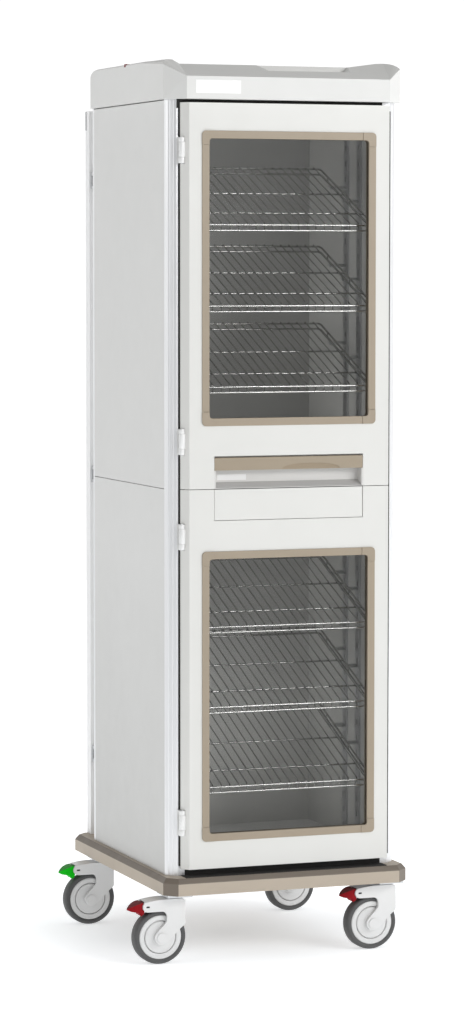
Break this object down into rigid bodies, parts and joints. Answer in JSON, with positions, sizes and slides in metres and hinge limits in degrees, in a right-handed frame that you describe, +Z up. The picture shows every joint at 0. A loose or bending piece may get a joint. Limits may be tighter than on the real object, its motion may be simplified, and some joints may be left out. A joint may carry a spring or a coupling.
{
  "type": "enclosed cabinet cart",
  "caption": "Tall enclosed cabinet cart with stacked glazed doors, inclined wire shelves, a recessed paddle handle, a bumper base and braked swivel casters.",
  "frame": {"origin": "floor level under the centre of the bounding box, with every caster trailing to -X", "axes": "+Z up, the doors face -Y, +X to the right seen from the front (the doors' free side)"},
  "size_m": [0.677, 0.715, 2.06],
  "materials": {
    "base_plastic": "matte",
    "steel": "zinc plated",
    "liner_white": "satin",
    "aluminium": "anodised",
    "panel_grey": "satin",
    "cover_plastic": "satin",
    "marker_red": "gloss",
    "shelf_wire": "plated",
    "grey_metal": "satin",
    "door_white": "satin",
    "bezel_tan": "satin",
    "smoked_glass": "polished",
    "pocket_grey": "satin",
    "seal_rubber": "matte",
    "hinge_white": "satin",
    "fork_grey": "satin",
    "wheel_white": "satin",
    "tyre_grey": "matte",
    "pedal_red": "gloss",
    "pedal_green": "gloss"
  },
  "bodies": {
    "cabinet": {"base_bumper": "base_plastic", "chassis_frame": "steel", "floor_panel": "liner_white", "posts_front": "aluminium", "posts_rear": "aluminium", "side_panel_left_upper": "panel_grey", "side_panel_left_lower": "panel_grey", "side_panel_right_upper": "panel_grey", "side_panel_right_lower": "panel_grey", "back_panel_upper": "panel_grey", "back_panel_lower": "panel_grey", "mid_rail": "liner_white", "ceiling_panel": "liner_white", "top_cover": "cover_plastic", "lid_marker": "marker_red", "shelf_standards": "aluminium", "wire_shelves_upper": "shelf_wire", "wire_shelves_lower": "shelf_wire", "shelf_clips": "steel", "rear_push_rails": "aluminium", "rear_cross_bar": "grey_metal", "rear_rail_brackets": "steel", "door_seals": "seal_rubber", "hinge_leaves_fixed": "hinge_white", "hinge_pins": "steel", "latch_keepers": "steel", "caster_heads": "steel"},
    "door_upper": {"door_upper_leaf": "door_white", "bezel_strips_upper": "bezel_tan", "bezel_corners_upper": "bezel_tan", "glass_upper": "smoked_glass", "handle_pocket": "pocket_grey", "hinge_leaves_upper": "hinge_white"},
    "handle_paddle": {"door_handle_paddle": "bezel_tan"},
    "door_lower": {"door_lower_leaf": "door_white", "bezel_strips_lower": "bezel_tan", "bezel_corners_lower": "bezel_tan", "glass_lower": "smoked_glass", "hinge_leaves_lower": "hinge_white"},
    "latch_panel": {"lower_latch_panel": "door_white"},
    "caster_fl_swivel": {"caster_fl_fork": "fork_grey", "caster_fl_axle": "steel"},
    "caster_fl_roll": {"caster_fl_wheel": "wheel_white", "caster_fl_tyre": "tyre_grey"},
    "caster_fl_brake": {"caster_fl_pedal": "pedal_red"},
    "caster_fr_swivel": {"caster_fr_fork": "fork_grey", "caster_fr_axle": "steel"},
    "caster_fr_roll": {"caster_fr_wheel": "wheel_white", "caster_fr_tyre": "tyre_grey"},
    "caster_fr_brake": {"caster_fr_pedal": "pedal_red"},
    "caster_rl_swivel": {"caster_rl_fork": "fork_grey", "caster_rl_axle": "steel"},
    "caster_rl_roll": {"caster_rl_wheel": "wheel_white", "caster_rl_tyre": "tyre_grey"},
    "caster_rl_brake": {"caster_rl_pedal": "pedal_green"},
    "caster_rr_swivel": {"caster_rr_fork": "fork_grey", "caster_rr_axle": "steel"},
    "caster_rr_roll": {"caster_rr_wheel": "wheel_white", "caster_rr_tyre": "tyre_grey"},
    "caster_rr_brake": {"caster_rr_pedal": "pedal_red"}
  },
  "joints": [
    {"name": "door_upper_hinge", "type": "hinge", "parent": "cabinet", "child": "door_upper", "pos_m": [-0.214, -0.324, 1.524], "axis": [0, 0, -1], "range_deg": [0, 110]},
    {"name": "door_lower_hinge", "type": "hinge", "parent": "cabinet", "child": "door_lower", "pos_m": [-0.214, -0.324, 0.652], "axis": [0, 0, -1], "range_deg": [0, 110]},
    {"name": "paddle_pull", "type": "hinge", "parent": "door_upper", "child": "handle_paddle", "pos_m": [0.043, -0.326, 1.156], "axis": [-1, 0, 0], "range_deg": [0, 20], "stiffness_Nm_per_rad": 0.3},
    {"name": "latch_push", "type": "slide", "parent": "door_lower", "child": "latch_panel", "axis": [0, 1, 0], "range_m": [0, 0.004], "stiffness_N_per_m": 500},
    {"name": "caster_fl_swivel", "type": "hinge", "parent": "cabinet", "child": "caster_fl_swivel", "pos_m": [-0.2225, -0.299, 0.14], "axis": [0, 0, 1], "continuous": true},
    {"name": "caster_fl_roll", "type": "hinge", "parent": "caster_fl_swivel", "child": "caster_fl_roll", "pos_m": [-0.2625, -0.299, 0.0625], "axis": [0, 1, 0], "continuous": true},
    {"name": "caster_fl_pedal", "type": "hinge", "parent": "caster_fl_swivel", "child": "caster_fl_brake", "pos_m": [-0.2955, -0.299, 0.1355], "axis": [0, -1, 0], "range_deg": [0, 12], "stiffness_Nm_per_rad": 1},
    {"name": "caster_fr_swivel", "type": "hinge", "parent": "cabinet", "child": "caster_fr_swivel", "pos_m": [0.2995, -0.299, 0.14], "axis": [0, 0, 1], "continuous": true},
    {"name": "caster_fr_roll", "type": "hinge", "parent": "caster_fr_swivel", "child": "caster_fr_roll", "pos_m": [0.2595, -0.299, 0.0625], "axis": [0, 1, 0], "continuous": true},
    {"name": "caster_fr_pedal", "type": "hinge", "parent": "caster_fr_swivel", "child": "caster_fr_brake", "pos_m": [0.2265, -0.299, 0.1355], "axis": [0, -1, 0], "range_deg": [0, 12], "stiffness_Nm_per_rad": 1},
    {"name": "caster_rl_swivel", "type": "hinge", "parent": "cabinet", "child": "caster_rl_swivel", "pos_m": [-0.2225, 0.2206, 0.14], "axis": [0, 0, 1], "continuous": true},
    {"name": "caster_rl_roll", "type": "hinge", "parent": "caster_rl_swivel", "child": "caster_rl_roll", "pos_m": [-0.2625, 0.2206, 0.0625], "axis": [0, 1, 0], "continuous": true},
    {"name": "caster_rl_pedal", "type": "hinge", "parent": "caster_rl_swivel", "child": "caster_rl_brake", "pos_m": [-0.2955, 0.2206, 0.1355], "axis": [0, -1, 0], "range_deg": [0, 12], "stiffness_Nm_per_rad": 1},
    {"name": "caster_rr_swivel", "type": "hinge", "parent": "cabinet", "child": "caster_rr_swivel", "pos_m": [0.2995, 0.2206, 0.14], "axis": [0, 0, 1], "continuous": true},
    {"name": "caster_rr_roll", "type": "hinge", "parent": "caster_rr_swivel", "child": "caster_rr_roll", "pos_m": [0.2595, 0.2206, 0.0625], "axis": [0, 1, 0], "continuous": true},
    {"name": "caster_rr_pedal", "type": "hinge", "parent": "caster_rr_swivel", "child": "caster_rr_brake", "pos_m": [0.2265, 0.2206, 0.1355], "axis": [0, -1, 0], "range_deg": [0, 12], "stiffness_Nm_per_rad": 1}
  ]
}
